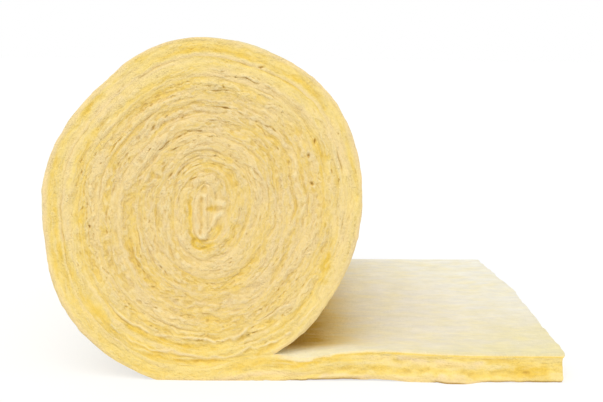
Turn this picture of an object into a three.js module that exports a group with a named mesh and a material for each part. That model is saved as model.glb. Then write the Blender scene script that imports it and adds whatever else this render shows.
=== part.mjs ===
// A roll of glass wool insulation, partly unrolled.
//
// One blanket is wound round its own folded start. Its outermost turn leaves the roll
// at the underside and lies on the floor as a flat tail, cut off a little out of square.
//
// Frame: millimetres, +Z up. The winding axis runs along Y, the front end of the roll
// faces -Y, and the tail lies towards +X. The origin is the middle of the footprint,
// on the floor.

import * as THREE from "three";

// ---- Driving dimensions ---------------------------------------------------------

const BLANKET_WIDTH = 1200; // between the two cut edges, along Y
const BLANKET_THICKNESS = 50; // where the blanket lies free
const WOUND_THICKNESS = 36; // of one turn, squeezed by the winding
const WOUND_TURNS = 9.05; // from the folded start to the underside, where the tail leaves
const TAIL_LENGTH = 672; // from straight under the winding axis to the cut end, in front
const END_SKEW = 18; // how much further out the cut end's back corner lies
const CORE_FOLD = 64; // how much taller than wide the folded start leaves the core
const SAG = 17; // how far the roll's own weight flattens its underside
const SAG_FADE = 8.8; // power by which that flattening dies out towards the core
const EDGE_CROWN = 7; // how far each turn's cut edge bulges out past its seams

// The hand-wound roll is out of round: each entry swells the outline by a height at a
// number of evenly spaced lobes, one of them at the crest angle (degrees, seen from the
// front, anticlockwise from +X).
const OUT_OF_ROUND = [
  { lobes: 2, height: 13.4, crest: 74 },
  { lobes: 3, height: 1.5, crest: 48 },
  { lobes: 4, height: 1.7, crest: 21 },
  { lobes: 5, height: 1.2, crest: 19 },
  { lobes: 6, height: 2.5, crest: 43 },
  { lobes: 7, height: 0.9, crest: 0 },
];

// ---- Fineness of the mesh -------------------------------------------------------

const STEPS_PER_TURN = 40;
const TAIL_STEPS = 6; // along the free tail
const EDGE_ROWS = [0, 0.18, 0.5, 0.82, 1]; // across a turn, from its inner to its outer face

// ---- Section of the winding -----------------------------------------------------
//
// The section is the shape that both ends show. Step k of the winding has one point on
// the turn's outer face and one on its inner face, and the outer face of a turn is the
// inner face of the next. Steps are counted from the folded start, and the last one is
// at the underside.

const OUTER_RADIUS = WOUND_THICKNESS * WOUND_TURNS;
const LAST_STEP = Math.ceil(WOUND_TURNS * STEPS_PER_TURN);
const UNDERSIDE = -Math.PI / 2;

const turnsLeft = (step) => (LAST_STEP - step) / STEPS_PER_TURN;
const angleAt = (step) => UNDERSIDE - 2 * Math.PI * turnsLeft(step);
const radiusAt = (step) =>
  Math.max(0, WOUND_THICKNESS * (WOUND_TURNS - turnsLeft(step)));

function outOfRound(angle) {
  let swell = 0;
  for (const { lobes, height, crest } of OUT_OF_ROUND) {
    swell += height * Math.cos(lobes * (angle - THREE.MathUtils.degToRad(crest)));
  }
  return 1 + swell / OUTER_RADIUS;
}

const AXIS_HEIGHT = OUTER_RADIUS * outOfRound(UNDERSIDE) - SAG;

// Where a point of the winding lies before the roll's weight is on it.
function unloadedPoint(radius, angle) {
  const swollen = radius * outOfRound(angle);
  const fold = (CORE_FOLD / 2) * (1 - radius / OUTER_RADIUS) ** 2;
  return new THREE.Vector2(
    swollen * Math.cos(angle),
    AXIS_HEIGHT + (swollen + fold) * Math.sin(angle),
  );
}

// The step, in the outermost turn, that shares a step's angle.
const outlineStep = (step) =>
  LAST_STEP - ((LAST_STEP - step) % STEPS_PER_TURN);

// The outline of the roll without its tail starts one turn back, on top of the tail.
const FLANK_STEP = LAST_STEP - STEPS_PER_TURN;
const unloadedOutline = (step) => unloadedPoint(radiusAt(step), angleAt(step));
const liftShare = (radius, outerRadius) => (radius / outerRadius) ** SAG_FADE;

// Under the axis the layer that becomes the tail is at its thinnest.
const PINCHED_THICKNESS =
  unloadedOutline(FLANK_STEP).y +
  SAG * liftShare(radiusAt(FLANK_STEP), OUTER_RADIUS);

// The nip is where the roll's flank lifts off the tail: the point of the flank that is
// one free thickness above the floor.
function findNip() {
  let below = FLANK_STEP;
  let above = FLANK_STEP + STEPS_PER_TURN / 4;
  for (let halving = 0; halving < 40; halving += 1) {
    const middle = (below + above) / 2;
    if (unloadedOutline(middle).y < BLANKET_THICKNESS) below = middle;
    else above = middle;
  }
  return { step: Math.round(above), point: unloadedOutline(above) };
}

const NIP = findNip();

// The top of the layer that the roll rests on, from under the axis to the nip.
function layerTop(x) {
  const share = THREE.MathUtils.clamp(x / NIP.point.x, 0, 1);
  return THREE.MathUtils.lerp(
    PINCHED_THICKNESS,
    BLANKET_THICKNESS,
    Math.sin((share * Math.PI) / 2),
  );
}

// How far what lies under it lifts the outline at a step of the outermost turn.
function outlineLift(step) {
  const point = unloadedOutline(step);
  const onTail = step < FLANK_STEP + STEPS_PER_TURN / 2;
  return Math.max(0, (onTail ? layerTop(point.x) : 0) - point.y);
}

function woundPoint(step) {
  if (step === NIP.step) return NIP.point.clone();
  const radius = radiusAt(step);
  const point = unloadedPoint(radius, angleAt(step));
  const outer = step < FLANK_STEP ? outlineStep(step) : step;
  const outline = outer === LAST_STEP && step < LAST_STEP ? FLANK_STEP : outer;
  point.y += outlineLift(outline) * liftShare(radius, radiusAt(outline));
  return point;
}

// ---- Seams: the lines of points that the turns share ----------------------------

// Each point of the section has a skew too: how much further along X it lies at the back.

const seam = (x, z, skew = 0) => ({ x, z, skew, recess: EDGE_CROWN });

// The start is folded flat on itself, so the winding's middle is an upright slit. Its
// two sides meet, and steps at the same height share a point.
const slit = new Map();
function slitPoint(step) {
  const around = (LAST_STEP - step) % STEPS_PER_TURN;
  const level = Math.min(around, STEPS_PER_TURN - around);
  if (!slit.has(level)) {
    const { y } = unloadedPoint(0, angleAt(step));
    slit.set(level, seam(0, y));
  }
  return slit.get(level);
}

const outerFace = [];
for (let step = 0; step <= LAST_STEP; step += 1) {
  if (radiusAt(step) === 0) {
    outerFace.push(slitPoint(step));
  } else {
    const { x, y } = woundPoint(step);
    outerFace.push(seam(x, y));
  }
}

// ---- Ribs: the points across the blanket's cut edge, at each step ---------------

// Between its seams the edge bulges, by less where the start of the blanket thins out.
function rib(inner, outer) {
  if (inner === outer) return EDGE_ROWS.map(() => inner);
  const thickness = Math.hypot(outer.x - inner.x, outer.z - inner.z);
  const crown = EDGE_CROWN * Math.min(1, thickness / WOUND_THICKNESS);
  return EDGE_ROWS.map((share) => {
    if (share === 0) return inner;
    if (share === 1) return outer;
    return {
      x: THREE.MathUtils.lerp(inner.x, outer.x, share),
      z: THREE.MathUtils.lerp(inner.z, outer.z, share),
      skew: outer.skew,
      recess: EDGE_CROWN - crown * (1 - (2 * share - 1) ** 4),
    };
  });
}

function windingRibs() {
  const ribs = [];
  for (let step = 0; step <= LAST_STEP; step += 1) {
    const within = step - STEPS_PER_TURN;
    const inner = within < 0 ? slitPoint(step) : outerFace[within];
    ribs.push(rib(inner, outerFace[step]));
  }
  return ribs;
}

// Up to the nip the roll rests on the tail, and past it the tail's top is free.
function tailRibs() {
  const ribs = [];
  for (let step = FLANK_STEP + 1; step <= NIP.step; step += 1) {
    const top = outerFace[step];
    ribs.push(rib(top, seam(top.x, 0)));
  }
  for (let step = 1; step <= TAIL_STEPS; step += 1) {
    const share = step / TAIL_STEPS;
    const x = THREE.MathUtils.lerp(NIP.point.x, TAIL_LENGTH, share);
    const skew = share * END_SKEW;
    ribs.push(rib(seam(x, BLANKET_THICKNESS, skew), seam(x, 0, skew)));
  }
  return ribs;
}

// ---- Solid ----------------------------------------------------------------------

const isTop = 0;
const isUnderside = EDGE_ROWS.length - 1;

// The outside of the section, anticlockwise from the nip: the roll's flank, its top and
// far side, the underside, the cut end, and back along the tail's top.
function outlineOf(tail) {
  const free = tail.slice(NIP.step - FLANK_STEP);
  return [
    ...outerFace.slice(NIP.step),
    ...tail.map((across) => across[isUnderside]),
    ...free.at(-1).slice(1, -1).reverse(),
    ...free.map((across) => across[isTop]).reverse(),
  ];
}

function blanketGeometry() {
  const corners = [];
  const faces = [];
  const numbers = new Map();

  // Each point of the section is one vertex on the front end and one on the back.
  function vertex(point, side) {
    if (!numbers.has(point)) {
      numbers.set(point, corners.length / 3);
      for (const end of [-1, 1]) {
        const y = end * (BLANKET_WIDTH / 2 - point.recess);
        const x = point.x + point.skew * (0.5 + y / BLANKET_WIDTH);
        corners.push(x, y, point.z);
      }
    }
    return numbers.get(point) + side;
  }

  function triangle(a, b, c) {
    if (a !== b && b !== c && c !== a) faces.push(a, b, c);
  }

  function onBothEnds(a, b, c) {
    const [front, back] = [0, 1];
    triangle(vertex(a, front), vertex(b, front), vertex(c, front));
    triangle(vertex(a, back), vertex(c, back), vertex(b, back));
  }

  const tail = tailRibs();
  const ribs = [...windingRibs(), ...tail];
  for (let step = 1; step < ribs.length; step += 1) {
    for (let row = 1; row < EDGE_ROWS.length; row += 1) {
      const [before, after] = [ribs[step - 1], ribs[step]];
      onBothEnds(before[row - 1], before[row], after[row]);
      onBothEnds(before[row - 1], after[row], after[row - 1]);
    }
  }

  const outline = outlineOf(tail);
  outline.forEach((from, index) => {
    const to = outline[(index + 1) % outline.length];
    triangle(vertex(from, 0), vertex(from, 1), vertex(to, 1));
    triangle(vertex(from, 0), vertex(to, 1), vertex(to, 0));
  });

  const geometry = new THREE.BufferGeometry();
  geometry.setAttribute("position", new THREE.Float32BufferAttribute(corners, 3));
  geometry.setIndex(faces);
  geometry.computeBoundingBox();
  const middle = geometry.boundingBox.getCenter(new THREE.Vector3());
  geometry.translate(-middle.x, 0, 0);
  geometry.computeVertexNormals();
  return geometry;
}

const glassWool = new THREE.MeshStandardMaterial({
  name: "glass_wool",
  color: "#efd78c",
  roughness: 0.95,
  metalness: 0,
});

const blanket = new THREE.Mesh(blanketGeometry(), glassWool);
blanket.name = "glass_wool_blanket";

const insulationRoll = new THREE.Group();
insulationRoll.add(blanket);

export default insulationRoll;
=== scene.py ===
"""A partly unrolled roll of glass wool blanket, and the studio it stands in.

Metres, +Z up. The winding axis runs along Y, the front end of the roll faces -Y, and the
tail lies towards +X. The origin is the middle of the footprint, on the floor.
"""

from math import ceil, pi, radians
from types import SimpleNamespace

import bpy
import numpy as np
from bpy.props import FloatProperty, FloatVectorProperty, PointerProperty
from bpy.types import NodeSocket, Operator, Panel, PropertyGroup
from mathutils import Matrix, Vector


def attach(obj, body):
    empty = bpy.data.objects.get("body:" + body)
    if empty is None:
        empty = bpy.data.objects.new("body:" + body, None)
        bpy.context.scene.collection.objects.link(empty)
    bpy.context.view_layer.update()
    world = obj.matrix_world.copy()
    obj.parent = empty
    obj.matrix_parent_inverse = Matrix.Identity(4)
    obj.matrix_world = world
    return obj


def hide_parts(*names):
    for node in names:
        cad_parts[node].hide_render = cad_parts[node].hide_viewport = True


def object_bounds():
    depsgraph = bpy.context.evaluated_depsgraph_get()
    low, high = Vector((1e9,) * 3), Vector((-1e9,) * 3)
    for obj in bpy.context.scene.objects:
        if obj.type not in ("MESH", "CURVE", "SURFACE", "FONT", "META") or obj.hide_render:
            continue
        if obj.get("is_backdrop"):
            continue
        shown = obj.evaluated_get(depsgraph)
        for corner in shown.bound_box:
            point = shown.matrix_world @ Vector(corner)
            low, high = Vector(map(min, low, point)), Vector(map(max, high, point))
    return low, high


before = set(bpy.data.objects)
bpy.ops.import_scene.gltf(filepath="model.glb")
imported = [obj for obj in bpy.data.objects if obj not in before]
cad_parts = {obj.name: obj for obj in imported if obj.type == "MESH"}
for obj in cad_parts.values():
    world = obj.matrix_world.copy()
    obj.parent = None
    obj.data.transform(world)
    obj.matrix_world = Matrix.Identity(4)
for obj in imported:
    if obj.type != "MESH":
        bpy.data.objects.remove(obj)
CAD_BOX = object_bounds()

bl_info = {
    "name": "Insulation Roll",
    "version": (1, 0, 0),
    "blender": (4, 5, 0),
    "location": "3D View > Sidebar > Insulation Roll",
    "description": "Builds a partly unrolled roll of glass wool blanket and its studio",
    "category": "Add Mesh",
}

NODE = "glass_wool_blanket"
BODY = "root"
MM = 0.001


def srgb(*levels):
    """A colour as it is seen, 0 to 255 a channel, turned into shares of linear light."""
    shares = np.array(levels) / 255
    return tuple(np.where(shares > 0.04045, ((shares + 0.055) / 1.055) ** 2.4, shares / 12.92))


# ---- Sizes and colours that a user may change --------------------------------------


def a_number(name, description, default, **kind):
    return FloatProperty(name=name, description=description, default=default, **kind)


def a_length(name, description, metres):
    return a_number(name, description, metres, min=0, unit="LENGTH")


def an_angle(name, description, degrees):
    return a_number(name, description, radians(degrees), subtype="ANGLE")


def a_colour(name, description, *levels):
    return FloatVectorProperty(
        name=name,
        description=description,
        default=srgb(*levels),
        subtype="COLOR",
        min=0,
        max=1,
    )


class BlanketSizes(PropertyGroup):
    width: a_length("Width", "Between the two cut edges", 1.2)
    thickness: a_length("Free thickness", "Where the blanket lies free", 0.05)
    wound: a_length("Wound thickness", "Of one turn, squeezed by the winding", 0.036)
    turns: a_number("Turns", "From the folded start to where the tail leaves", 9.05, min=3)
    tail: a_length("Tail", "From straight under the winding axis to the cut end, in front", 0.672)
    skew: a_length("End skew", "How much further out the cut end's back corner lies", 0.018)
    fold: a_length("Core fold", "How much taller than wide the folded start leaves the core", 0.064)
    sag: a_length("Sag", "How far the roll's own weight flattens its underside", 0.017)
    seam: a_length("Seam depth", "How deep the seams between turns are cut at most", 0.003)


class WoolColours(PropertyGroup):
    straw: a_colour("Straw", "Most of the cut edge", 244, 215, 141)
    # The pale colour also serves as painted highlight along the rim and the outline of the cut edge.
    pale: a_colour("Pale layers", "The palest layers of the cut edge", 250, 223, 164)
    # Painted highlight on the ridges of the cut edge; the pale skin along the tail takes this colour too.
    ridge_highlight: a_colour("Ridges", "Where a layer of the cut edge stands out", 255, 236, 184)
    golden: a_colour("Golden wool", "The deepest yellow of the cut edge and the outside", 247, 210, 94)
    # Painted shade deep in the creases, pits and hollows of the cut edge, and the painted contact shadow
    # under the tail's edge.
    hollow_shade: a_colour("Hollows", "Deep in the creases of the cut edge", 196, 153, 66)
    # Brighter yellow wool of the outer turns and the tail's cut end; lower down on the roll it is also
    # painted light, as from the floor below.
    bright_yellow: a_colour("Fresh wool", "The cut edge of the outer turns and of the tail", 255, 230, 139)
    felt: a_colour("Felted face", "Most of the felted face", 251, 245, 231)
    felt_warm: a_colour("Felted face, warm", "Warm patches of the felted face", 250, 239, 188)
    # Painted light on the tail towards the back and the cut end, where less of it is shaded.
    felt_painted_light: a_colour("Felted face, light", "The tail towards the back and the cut end", 255, 252, 238)
    outer_felt: a_colour("Outer felted face", "The outside of the roll", 251, 234, 178)
    # Painted shade on the tail's felt in the nip, where the roll shades it, warm as with light bounced off
    # the yellow wool: lighter where it starts, deepest in the nip.
    nip_shade_outer: a_colour("By the nip", "The felt where the tail comes free of the roll", 242, 217, 146)
    nip: a_colour("Nip", "The felt where the roll still presses on the tail", 214, 174, 44)


class StudioSettings(PropertyGroup):
    ambient: a_number("Ambient light", "Plain white light from all round", 0.66, min=0)
    key: a_number("Key light", "Soft light from above and in front", 1.35, min=0)
    key_height: an_angle("Key height", "How high the key light stands over the floor", 48)
    key_side: an_angle("Key side", "How far left of straight in front the key light stands", 8)
    key_softness: an_angle("Key softness", "Angle across the key light", 42)
    floor: a_colour("Floor", "Plain pale floor", 244, 243, 240)


# ---- Repeatable noise, and smooth rises and falls -------------------------------------


def hashed(x, y, seed):
    """A repeatable random number from -1 to 1 for each cell of whole numbers."""
    n = (x * 374761393 + y * 668265263 + seed * 1442695041) & 0xFFFFFFFF
    n = ((n ^ (n >> 13)) * 1274126177) & 0xFFFFFFFF
    return ((n ^ (n >> 16)) & 0xFFFF) / 32767.5 - 1


def noise(x, y, seed):
    """Smooth noise from -1 to 1, in cells one wide."""
    x, y = np.broadcast_arrays(x, y)
    column, row = np.floor(x).astype(np.int64), np.floor(y).astype(np.int64)
    across, up = x - column, y - row
    across = across**3 * (across * (across * 6 - 15) + 10)
    up = up**3 * (up * (up * 6 - 15) + 10)
    low = hashed(column, row, seed) * (1 - across) + hashed(column + 1, row, seed) * across
    high = hashed(column, row + 1, seed) * (1 - across) + hashed(column + 1, row + 1, seed) * across
    return low * (1 - up) + high * up


def layered_noise(x, y, seed, octaves=3):
    """Noise with finer noise on it, each layer half as wide and half as high. It is
    raised by half, because layers seldom peak together."""
    total = sum(noise(x * 2**k, y * 2**k, seed + k) / 2**k for k in range(octaves))
    return total / (2 - 2 ** (1 - octaves)) * 1.5


def smooth_step(x, start, end):
    """0 before the start and 1 past the end, whichever of the two is higher."""
    share = np.clip((x - start) / (end - start), 0, 1)
    return share * share * (3 - 2 * share)


def hill(distance, reach, power=2):
    """1 at no distance, and a rounded fall to 0 past the reach on both sides."""
    return np.exp(-((distance / reach) ** power))


def fading(distance, reach):
    """1 at no distance, and a fall to 0 that is steepest there."""
    return np.exp(-distance / reach)


# ---- The winding: the same section as the solid -------------------------------------

UNDERSIDE = -pi / 2
SAG_FADE = 8.8  # power by which the sag dies out towards the core
OUT_OF_ROUND = (  # number of lobes, height of each, and the angle of one crest in degrees
    (2, 0.0134, 74),
    (3, 0.0015, 48),
    (4, 0.0017, 21),
    (5, 0.0012, 19),
    (6, 0.0025, 43),
    (7, 0.0009, 0),
)


class Winding:
    """Where the turns lie in the section, with x from straight under the axis.

    A place along the winding is a number of turns from the folded start, and the outer
    face of a turn is the inner face of the next.
    """

    def __init__(self, sizes):
        self.turns = sizes.turns
        self.wound = sizes.wound
        self.free = sizes.thickness
        self.fold = sizes.fold
        self.sag = sizes.sag
        self.radius = self.wound * self.turns
        self.axis = self.radius * self.out_of_round(UNDERSIDE) - self.sag
        flank = self.turns - 1
        self.pinched = self.unloaded(flank)[1] + self.sag * (flank / self.turns) ** SAG_FADE
        self.nip = self.find_nip()
        self.nip_x = self.unloaded(self.nip)[0]

    def out_of_round(self, angle):
        """How long the radius is at an angle, as a share of a round roll's."""
        swell = sum(high * np.cos(lobes * (angle - radians(crest))) for lobes, high, crest in OUT_OF_ROUND)
        return 1 + swell / self.radius

    def angle(self, turn):
        """Anticlockwise from +X, as seen from the front."""
        return UNDERSIDE - 2 * pi * (self.turns - turn)

    def unloaded(self, turn):
        """A place of the winding before the roll's weight is on it."""
        angle, radius = self.angle(turn), self.wound * np.maximum(turn, 0)
        swollen = radius * self.out_of_round(angle)
        fold = self.fold / 2 * (1 - radius / self.radius) ** 2
        return np.array([swollen * np.cos(angle), self.axis + (swollen + fold) * np.sin(angle)])

    def find_nip(self):
        """The place of the flank that is one free thickness above the floor."""
        below, above = self.turns - 1, self.turns - 0.75
        for _ in range(40):
            middle = (below + above) / 2
            if self.unloaded(middle)[1] < self.free:
                below = middle
            else:
                above = middle
        return above

    def layer_top(self, x):
        """The top of the layer that the roll rests on, from under the axis to the nip."""
        share = np.sin(np.clip(x / self.nip_x, 0, 1) * pi / 2)
        return self.pinched + (self.free - self.pinched) * share

    def place(self, turn):
        """A place of the winding with the roll's weight on it."""
        x, z = self.unloaded(turn)
        outline = self.turns - (self.turns - turn) % 1
        under_x, under_z = self.unloaded(outline)
        top = np.where(outline < self.turns - 0.5, self.layer_top(under_x), 0)
        share = (np.maximum(turn, 0) / outline) ** SAG_FADE
        return np.array([x, z + np.maximum(0, top - under_z) * share]).T

    def along(self, turn):
        """Length of blanket from the folded start."""
        return pi * self.wound * np.maximum(turn, 0) ** 2


# ---- Ribs across the blanket --------------------------------------------------------

STEPS_PER_TURN = 640  # of the outer turns
COARSER = ((1.5, 8), (3.0, 4), (6.0, 2))  # before so many turns, only one step in so many
ROWS = 27  # across a turn
TAIL_COLUMNS = 110  # from the nip to the cut end
LAST_COLUMN = 1 * MM  # width of the last of them, which keeps the cut end's corner crisp


def build_section(sizes):
    """The ribs of the section from the folded start to the cut end, and the numbers of
    the vertices on them, which are the same for both ends of the blanket. A rib runs from
    the inner to the outer face of its turn, and on the tail from the top to the floor."""
    winding = Winding(sizes)
    coarsest = COARSER[0][1]
    last = coarsest * ceil(sizes.turns * STEPS_PER_TURN / coarsest)
    left = np.arange(last, -1, -1)
    turn = sizes.turns - left / STEPS_PER_TURN
    every = np.select([turn < limit for limit, _ in COARSER], [step for _, step in COARSER], 1)
    left, turn = left[left % every == 0], turn[left % every == 0]
    steps = len(left)
    flank = int(np.flatnonzero(left == STEPS_PER_TURN)[0])
    nip = int(np.argmin(abs(turn - winding.nip)))
    turn[nip] = winding.nip

    # The two sides of the slit in the folded start meet, level by level.
    # Their vertices are numbered after the seam's.
    around = left % STEPS_PER_TURN
    slit = steps + np.minimum(around, STEPS_PER_TURN - around)
    seam = np.where(turn > 0, np.arange(steps), slit)
    before = np.searchsorted(-left, -(left + STEPS_PER_TURN), side="right") - 1
    inner = np.where(before >= 0, seam[before], slit)

    under = np.arange(flank + 1, nip + 1)
    ribs = steps + len(under) + TAIL_COLUMNS
    count = steps + STEPS_PER_TURN // 2 + 1

    def new_numbers(*shape):
        nonlocal count
        numbers = np.arange(count, count + int(np.prod(shape))).reshape(shape)
        count += numbers.size
        return numbers

    numbers = np.empty((ribs, ROWS + 1), np.int64)
    numbers[:, 1:-1] = new_numbers(ribs, ROWS - 1)
    numbers[:steps, 0], numbers[:steps, -1] = inner, seam
    numbers[0] = seam[0]  # the start has no thickness
    tail = slice(steps, ribs)
    numbers[tail, 0] = np.concatenate([seam[under], new_numbers(TAIL_COLUMNS)])
    numbers[tail, -1] = new_numbers(ribs - steps)

    columns = np.linspace(winding.nip_x, sizes.tail, TAIL_COLUMNS)[1:-1]
    free = ribs - TAIL_COLUMNS
    outline = np.concatenate(
        [
            numbers[nip:steps, -1],
            numbers[tail, -1],
            numbers[-1, -2:0:-1],
            numbers[:free - 1:-1, 0],
        ]
    )
    return SimpleNamespace(
        winding=winding,
        turn=turn,
        steps=steps,
        ribs=ribs,
        nip=nip,
        under=under,
        free=free,
        numbers=numbers,
        outline=outline,
        columns=np.append(columns, [sizes.tail - LAST_COLUMN, sizes.tail]),
        count=count,
    )


def plain_outline(section, sizes):
    """The outline of the section with no unevenness, from the nip round the roll, along
    the floor, up the cut end and back along the tail's top."""
    winding = section.winding
    rim = winding.place(section.turn[section.nip:])
    bottom_x = np.concatenate([winding.place(section.turn[section.under])[:, 0], section.columns])
    bottom = np.stack([bottom_x, np.zeros_like(bottom_x)], -1)
    height = np.arange(1, ROWS) / ROWS * winding.free
    end = np.stack([np.full(ROWS - 1, sizes.tail), height], -1)
    top = np.stack([section.columns[::-1], np.full(TAIL_COLUMNS, winding.free)], -1)
    return np.concatenate([rim, bottom, end, top])


# ---- What the ends show, in millimetres, and in degrees about the winding axis --------

# Creases: depth, then radius and angle at the points along each.
CREASES = (
    (1.6, (251, 84), (253, 78), (257, 74), (253, 71), (254, 67), (255, 64), (250, 60)),
    (1.5, (224, 94), (223, 86), (227, 80), (227, 77), (235, 70)),
    (1.1, (223, 76), (227, 72), (233, 69)),
    (1.8, (195, 97), (194, 90), (194, 86), (194, 80), (193, 74), (190, 70), (192, 66)),
    (0.9, (182, 83), (185, 79)),
    (1.6, (168, 90), (169, 85), (168, 79), (171, 72)),
    (1.8, (209, 150), (209, 144), (207, 139), (205, 134), (201, 129)),
    (1.8, (146, 131), (142, 126), (147, 121), (146, 113), (149, 104)),
    (1.6, (130, 122), (130, 109), (133, 98)),
    (1.1, (81, 129), (87, 106), (89, 91), (86, 75)),
    (1.5, (229, 197), (221, 188), (224, 184), (222, 177)),
    (1.3, (145, 156), (139, 152), (134, 146)),
    (1.1, (65, 127), (66, 116), (66, 97), (71, 72)),
    (1.1, (185, 62), (183, 57), (173, 50), (175, 44), (173, 40)),
    (1.5, (210, 19), (214, 17), (218, 15)),
)

# Pits: depth, radius and angle.
PITS = (
    (7, 283, 70), (6, 232, 83), (6, 194, 80), (7, 238, 38), (8, 213, 29), (8, 201, 15), (4, 110, 67),
    (3, 106, 59), (4, 93, 42), (4, 281, 31), (4, 174, 41), (3, 189, 62), (4, 257, 74), (3, 253, 78),
    (6, 183, 123), (3, 213, 97), (4, 178, 95), (3, 230, 95), (4, 186, 152), (4, 216, 156),
    (5, 222, 177), (4, 224, 184), (6, 221, 188), (4, 229, 197), (3, 260, 203), (3, 226, 214),
    (3, 242, 153), (4, 97, 205), (3, 117, 187), (3, 139, 68), (4, 85, 330),
)

# Ridges and troughs: half width, height (or depth, if negative), how golden (or pale, if
# negative), and the points along the middle. Those of the folded start are x and z from the
# axis.
# The tint is mostly the wool's own colour, but the golden of troughs is partly painted shade, and the pale of
# ridges partly painted highlight.
CORE_STROKES = (
    (6.0, 4.5, -0.9,
     ((-21, 26), (-22, -13), (-19, -44), (-14, -51), (-8, -48), (-4, -26), (-3, 11), (-3, 28))),
    (5.0, 3.0, -0.5, ((-21, 26), (-13, 30), (-3, 28))),
    (5.5, 4.5, -0.9, ((-2, -47), (6, -27), (13, -13), (29, -2))),
    (5.0, 3.5, -0.8, ((29, 13), (13, 18), (3, 24), (1, 36), (0.5, 55))),
    (3.0, -2.0, 0.7, ((-10.5, 24), (-12, 8), (-10, -6), (-12, -22), (-10.5, -39))),
    (3.6, -3.5, 1.1, ((-30, 25), (-33, 12), (-31, -2), (-33, -14), (-30, -26), (-31, -40), (-28, -52))),
    (4.0, -2.0, 0.3, ((-38, 18), (-41, 4), (-39, -12), (-41, -24))),
    (3.0, -3.0, 0.9, ((-24, -54), (-12, -57), (-2, -54), (3, -44), (8, -32))),
    (3.2, -3.0, 0.9,
     ((-29, -57), (-24, -67), (-13, -71), (-2, -69), (8, -63), (14, -54), (21, -44), (28, -30))),
    (9.0, -1.5, 1.2, ((-24, -52), (-20, -61), (-10, -63), (0, -60), (8, -52), (14, -42), (20, -30))),
    (6.0, -4.0, 1.3, ((2, 4), (11, 4))),
    (4.5, -4.0, 0.6, ((15, 29), (14, 21))),
    (6.0, -3.0, 0.5, ((-29, 48), (-19, 41), (-5, 45))),
)

# The same on the turns about it, with points as radius and angle.
OUTER_STROKES = (
    (12, 0, 0.5, ((301, 118), (304, 92), (303, 75))),
    (9, 0, 0.9, ((303, 72), (303, 60), (299, 46))),
    (7, -1.5, 1.4, ((285, 147), (288, 140), (286, 132))),
    (12, 0, 0.3, ((302, 205), (298, 180), (300, 150), (300, 118))),
    (16, 0, -0.6, ((285, 345), (290, 8), (286, 36))),
    (20, 0, 0.6, ((284, 196), (280, 215), (281, 232), (284, 246))),
    (13, -1, 0.9, ((264, 143), (243, 162), (239, 180), (244, 198), (249, 209))),
    (10, -1, 0.9, ((219, 47), (233, 34), (237, 18))),
    (12, 0, 0.6, ((204, 164), (210, 146), (202, 130))),
    (10, 0, 0.5, ((224, 20), (221, 11), (222, 1), (228, 349), (237, 337), (243, 328))),
    (9, -1, 1.2, ((244, 339), (247, 335), (251, 329))),
    (7, 0, 0.8, ((217, 34), (207, 27))),
    (7, 0, 0.8, ((205, 19), (200, 12))),
    (6, -2.5, 1.3,
     ((262, 236), (262, 246), (257, 263), (257, 270), (253, 284), (242, 291), (243, 298), (241, 304))),
    (5, -2, 1.0, ((292, 249), (285, 256), (287, 270), (284, 291), (281, 299))),
    (3, 4, -0.9, ((253, 225), (255, 236), (254, 245), (248, 254), (240, 263), (243, 269))),
    (3, 4, -0.9, ((243, 269), (247, 277), (242, 285), (230, 290), (228, 297), (232, 311))),
    (3, 3.5, -0.9, ((280, 230), (283, 246), (272, 256), (278, 277), (270, 287), (277, 297), (275, 304))),
    (2.5, 1.5, -0.8, ((295, 232), (293, 241), (287, 251), (281, 261), (280, 271), (285, 280), (288, 288))),
    (8, 1, -0.7, ((271, 230), (268, 243), (266, 254))),
    (16, 0, -0.9, ((257, 88), (261, 76), (254, 60), (259, 42), (267, 22))),
    (12, 0, -0.7, ((221, 60), (215, 40), (220, 12))),
    (12, 1, -0.8, ((276, 145), (270, 160), (265, 172), (268, 190))),
    (11, 1, -0.7, ((217, 154), (202, 169), (206, 182), (215, 195))),
    (9, 0, -0.4, ((295, 169), (298, 182), (295, 198), (302, 210))),
    (9, 0, -0.6, ((256, 9), (252, 359), (252, 348))),
    (7, 1, -1.2, ((243, 22), (238, 10), (235, 0), (236, 349))),
    (7, 1, -0.9, ((263, 128), (263, 141), (258, 153))),
    (14, 0, -0.5, ((150, 20), (142, 330), (154, 300))),
)

# Where the ends are livelier than elsewhere, or calmer if negative: x and z from the axis
# and reach, and by what share the relief grows.
ZONES = (
    (125, -60, 60, -0.5),
    (85, 22, 32, -0.28),
    (-190, -50, 34, -0.3),
    (-58, 58, 36, 0.55),
    (-30, 138, 40, 0.35),
)

# Ridges and troughs of the tail, with points as x from under the axis, and height.
TAIL_STROKES = (
    (14, 0, 0.5, ((60, 22), (155, 28), (250, 33), (330, 30))),
    (14, 0, -0.4, ((380, 20), (450, 22), (520, 24))),
    (4, 0, -0.8, ((300, 6), (345, 6), (400, 6), (440, 8))),
    (5, 0, 0.8, ((155, 28), (174, 36), (197, 42), (221, 44))),
    (4, 0, 0.7, ((245, 50), (291, 52), (325, 51), (362, 46))),
    (5, -1, 0.9, ((349, 38), (372, 29), (395, 23), (419, 23))),
    (4, 1, -1.3, ((362, 39), (385, 38), (410, 36))),
    (5, 1, -1.4, ((430, 36), (457, 34), (480, 35), (520, 35))),
    (4, 1, -0.6, ((439, 10), (467, 10), (495, 8))),
    (8, -1, 1.7, ((588, 20), (609, 17), (634, 20))),
    (3, -2, 0.3, ((597, 17), (607, 15))),
    (4, 1.5, -2.0, ((215, 5), (240, 9), (269, 8), (300, 6))),
    (4, 1, -1.5, ((432, 4), (482, 3))),
    (4, 1, -1.0, ((272, 19), (291, 21), (316, 13))),
    (6, 0, -0.4, ((90, 16), (156, 17), (212, 21))),
    (7, -1, 0.9, ((372, 19), (430, 20), (490, 18), (560, 17), (640, 13))),
    (6, 0, 0.8, ((190, 40), (228, 38), (265, 34), (292, 34))),
)


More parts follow.
